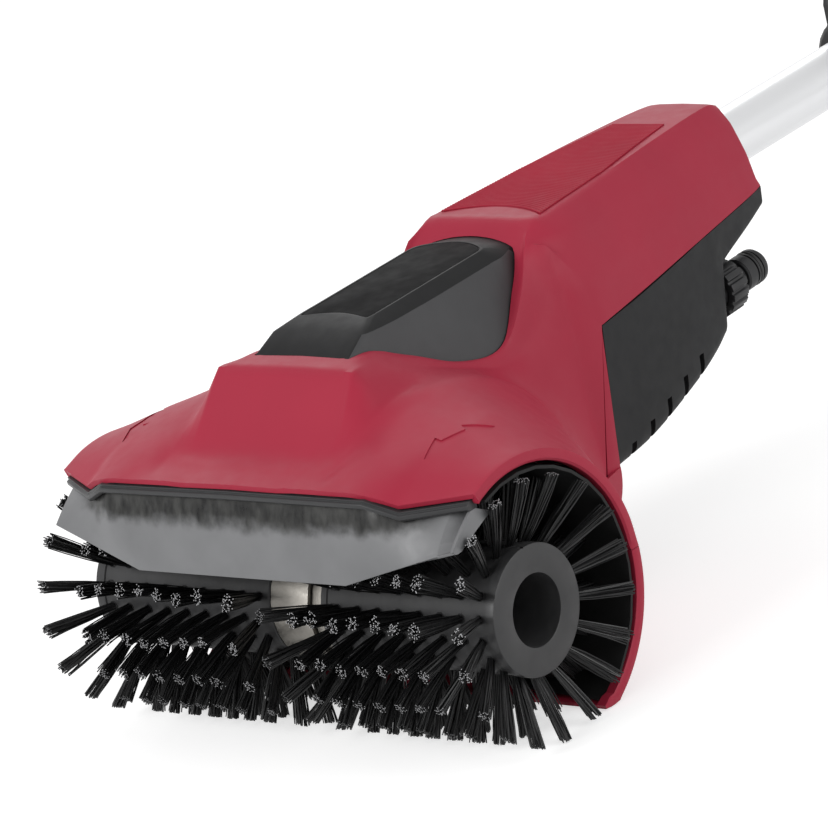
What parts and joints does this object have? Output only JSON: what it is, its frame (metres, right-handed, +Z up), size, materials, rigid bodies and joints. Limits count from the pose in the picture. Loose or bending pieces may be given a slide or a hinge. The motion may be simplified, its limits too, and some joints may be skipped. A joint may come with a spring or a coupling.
{
  "type": "patio cleaner",
  "caption": "Powered patio cleaner: tufted twin brush rollers under a moulded hood, motor neck with water inlet, telescopic pole, tilting front grip and battery handle.",
  "frame": {"origin": "on the ground, below the middle of the tool's bounding box", "axes": "+X along the brush rollers, +Y back along the pole towards the handle, +Z up"},
  "size_m": [0.2432, 1.1154, 0.2963],
  "materials": {
    "red_plastic": "satin moulded red",
    "dark_plastic": "satin dark grey",
    "black_plastic": "matt black",
    "smoky_plastic": "smoky translucent satin",
    "bristle_nylon": "black nylon with grey cut tips",
    "gearbox_alloy": "warm cast silver",
    "bright_steel": "bright",
    "pole_aluminium": "bright drawn tube",
    "seal_rubber": "matt"
  },
  "bodies": {
    "tool": {"top_shell": "red_plastic", "rear_hood": "red_plastic", "badge_cover": "dark_plastic", "hood_liner": "black_plastic", "lower_shell": "dark_plastic", "splash_guard": "smoky_plastic", "guard_frame": "black_plastic", "gearbox_housing": "gearbox_alloy", "gearbox_cover": "gearbox_alloy", "bearing_left": "bright_steel", "bearing_right": "bright_steel", "motor": "bright_steel", "motor_end_cap": "black_plastic", "inlet_body": "black_plastic", "hose_tail": "black_plastic", "seal_ring": "seal_rubber", "water_tube": "black_plastic", "spray_bar": "black_plastic", "lower_tube": "pole_aluminium", "tube_socket": "black_plastic"},
    "brush_roller": {"output_shaft": "bright_steel", "face_gear": "bright_steel", "brush_core_left": "dark_plastic", "brush_core_right": "dark_plastic", "brush_screw_left": "bright_steel", "brush_screw_right": "bright_steel", "bristles_left_1": "bristle_nylon", "bristles_left_2": "bristle_nylon", "bristles_left_3": "bristle_nylon", "bristles_left_4": "bristle_nylon", "bristles_right_1": "bristle_nylon", "bristles_right_2": "bristle_nylon", "bristles_right_3": "bristle_nylon", "bristles_right_4": "bristle_nylon"},
    "motor_drive": {"drive_shaft": "bright_steel", "drive_pinion": "bright_steel"},
    "hose_nut": {"union_nut": "black_plastic"},
    "upper_pole": {"upper_tube": "pole_aluminium", "pole_clamp": "black_plastic", "lever_pin": "bright_steel", "grip_clamp_upper": "black_plastic", "grip_clamp_lower": "black_plastic", "grip_bolt": "bright_steel", "handle_left": "red_plastic", "handle_right": "red_plastic", "switch": "black_plastic", "battery_dock": "black_plastic"},
    "pole_lever": {"clamp_lever": "dark_plastic"},
    "front_handle": {"bail_arm_left": "black_plastic", "bail_arm_right": "black_plastic", "bail_grip": "black_plastic"},
    "handle_knob": {"grip_knob": "black_plastic"},
    "trigger_lever": {"trigger": "black_plastic"},
    "lock_off": {"lock_off_button": "dark_plastic"},
    "battery_pack": {"battery": "dark_plastic"},
    "battery_latch": {"battery_release": "red_plastic"}
  },
  "joints": [
    {"name": "brush_spin", "type": "hinge", "parent": "tool", "child": "brush_roller", "pos_m": [0, -0.499, 0.059], "axis": [1, 0, 0], "continuous": true},
    {"name": "motor_spin", "type": "hinge", "parent": "tool", "child": "motor_drive", "pos_m": [0, -0.499, 0.059], "axis": [0, 0.9703, 0.2419], "continuous": true},
    {"name": "nut_turn", "type": "hinge", "parent": "tool", "child": "hose_nut", "pos_m": [0.026, -0.2318, 0.0954], "axis": [0, 0.9998, 0.0175], "continuous": true},
    {"name": "pole_slide", "type": "slide", "parent": "tool", "child": "upper_pole", "axis": [0, 1, 0], "range_m": [0, 0.2]},
    {"name": "lever_flip", "type": "hinge", "parent": "upper_pole", "child": "pole_lever", "pos_m": [0, -0.048, 0.1746], "axis": [1, 0, 0], "range_deg": [0, 110]},
    {"name": "handle_tilt", "type": "hinge", "parent": "upper_pole", "child": "front_handle", "pos_m": [0, 0.131, 0.1776], "axis": [1, 0, 0], "range_deg": [-50, 50]},
    {"name": "knob_turn", "type": "hinge", "parent": "upper_pole", "child": "handle_knob", "pos_m": [0, 0.131, 0.1776], "axis": [1, 0, 0], "continuous": true},
    {"name": "trigger_pull", "type": "hinge", "parent": "upper_pole", "child": "trigger_lever", "pos_m": [0, 0.416, 0.133], "axis": [1, 0, 0], "range_deg": [0, 8], "stiffness_Nm_per_rad": 0.5, "springref_deg": -5.73},
    {"name": "lock_push", "type": "slide", "parent": "upper_pole", "child": "lock_off", "axis": [1, 0, 0], "range_m": [0, 0.004], "stiffness_N_per_m": 300, "springref_m": -0.002},
    {"name": "battery_slide", "type": "slide", "parent": "upper_pole", "child": "battery_pack", "axis": [0, 1, 0], "range_m": [0, 0.13]},
    {"name": "latch_push", "type": "slide", "parent": "battery_pack", "child": "battery_latch", "axis": [0, -1, 0], "range_m": [0, 0.003], "stiffness_N_per_m": 500, "springref_m": -0.001}
  ],
  "couplings": [
    {"joint": "motor_spin", "follows": "brush_spin", "ratio": -3}
  ]
}
